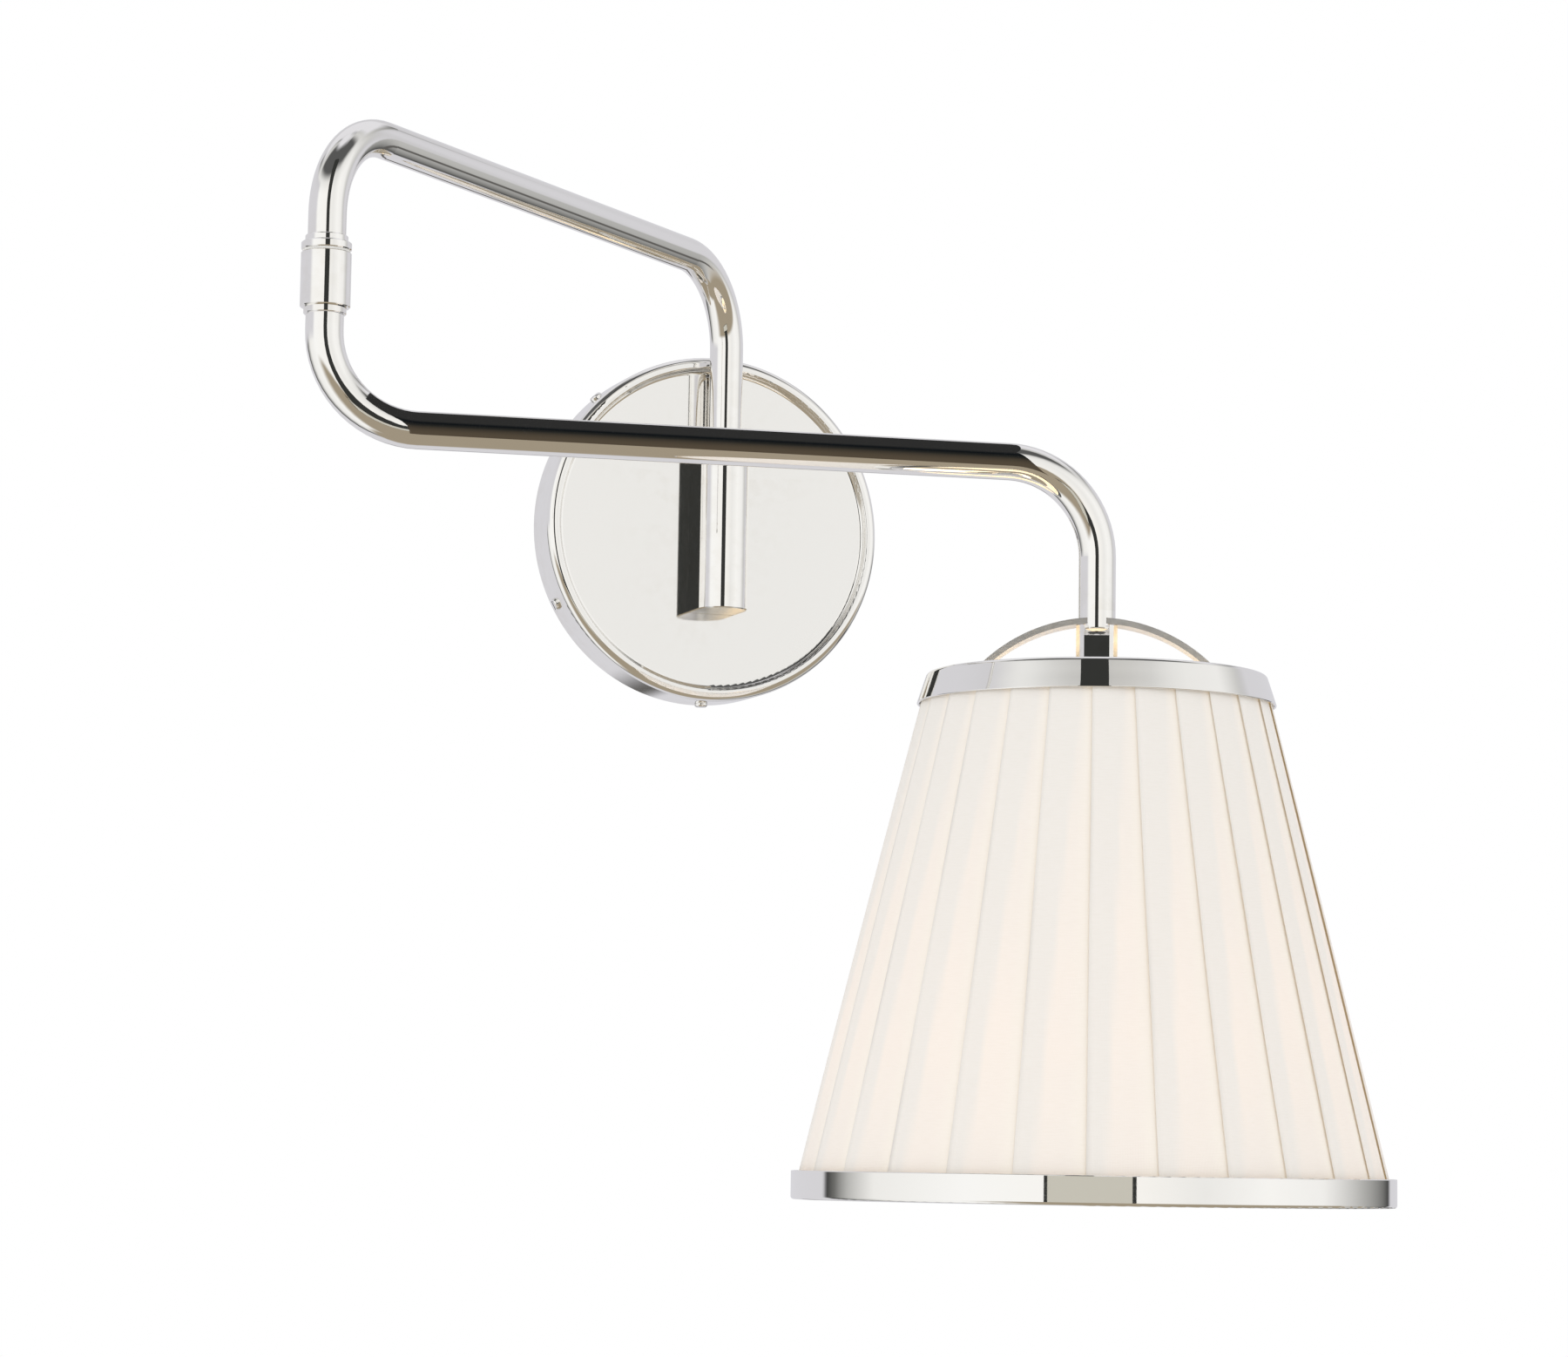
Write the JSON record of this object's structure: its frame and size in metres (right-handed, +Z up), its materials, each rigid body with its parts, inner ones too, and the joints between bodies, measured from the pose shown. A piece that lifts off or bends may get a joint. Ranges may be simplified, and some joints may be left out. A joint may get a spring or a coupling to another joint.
{
  "type": "swing arm wall sconce",
  "caption": "Wall lamp with a round canopy, two hinged tube arms and a pleated tapered shade held between polished rings under an arched strap.",
  "frame": {"origin": "centre of the canopy, on the wall face", "axes": "+X to the right along the wall, +Y into the wall, +Z up"},
  "size_m": [0.3748, 0.3387, 0.3597],
  "materials": {
    "polished_nickel": "mirror-polished nickel plate, slightly warm",
    "zinc_steel": "bright zinc-plated steel, satin",
    "ground_green": "green dyed screw",
    "bronze": "sintered bronze, oiled",
    "nylon": "natural nylon",
    "wire_jacket": "pale jacketed lamp wire",
    "shade_lining": "translucent white lining card",
    "pleated_cloth": "ivory linen-silk, knife pleated, translucent",
    "porcelain": "white glaze",
    "shell_brass": "stamped brass",
    "bulb_cap": "bright aluminium cap",
    "frosted_glass": "soft white frosted"
  },
  "bodies": {
    "wall_mount": {"mounting_pan": "zinc_steel", "ground_screw": "ground_green", "canopy": "polished_nickel", "canopy_screws": "polished_nickel", "hinge_block": "polished_nickel", "hinge_block_screws": "zinc_steel", "post_set_screw": "zinc_steel", "post_bushes": "bronze", "post_washer": "nylon", "supply_wire": "wire_jacket"},
    "upper_arm_body": {"upper_arm": "polished_nickel", "post_spigot": "bronze", "elbow_cap": "polished_nickel", "elbow_pin": "zinc_steel", "elbow_nut": "zinc_steel", "upper_arm_wire": "wire_jacket"},
    "lower_arm_body": {"elbow_sleeve": "polished_nickel", "elbow_bush": "bronze", "elbow_washer": "nylon", "elbow_collar": "polished_nickel", "lower_arm": "polished_nickel", "lower_arm_wire": "wire_jacket", "arm_hub": "polished_nickel", "shade_strap": "polished_nickel", "strap_rivets": "polished_nickel", "shade_top_ring": "polished_nickel", "shade_bottom_ring": "polished_nickel", "shade_liner": "shade_lining", "shade_cloth": "pleated_cloth", "socket_coupling": "polished_nickel", "socket_nipple": "zinc_steel", "socket_nut": "zinc_steel", "socket_cup": "polished_nickel", "lamp_holder": "porcelain", "screw_shell": "shell_brass", "centre_contact": "shell_brass", "bulb_base": "bulb_cap", "bulb_glass": "frosted_glass"}
  },
  "joints": [
    {"name": "post_swing", "type": "hinge", "parent": "wall_mount", "child": "upper_arm_body", "pos_m": [0, -0.03, 0.034], "axis": [0, 0, 1], "range_deg": [-36, 48]},
    {"name": "elbow_swing", "type": "hinge", "parent": "upper_arm_body", "child": "lower_arm_body", "pos_m": [-0.20036, -0.20602, 0.0552], "axis": [0, 0, 1], "range_deg": [-122, 3]}
  ]
}
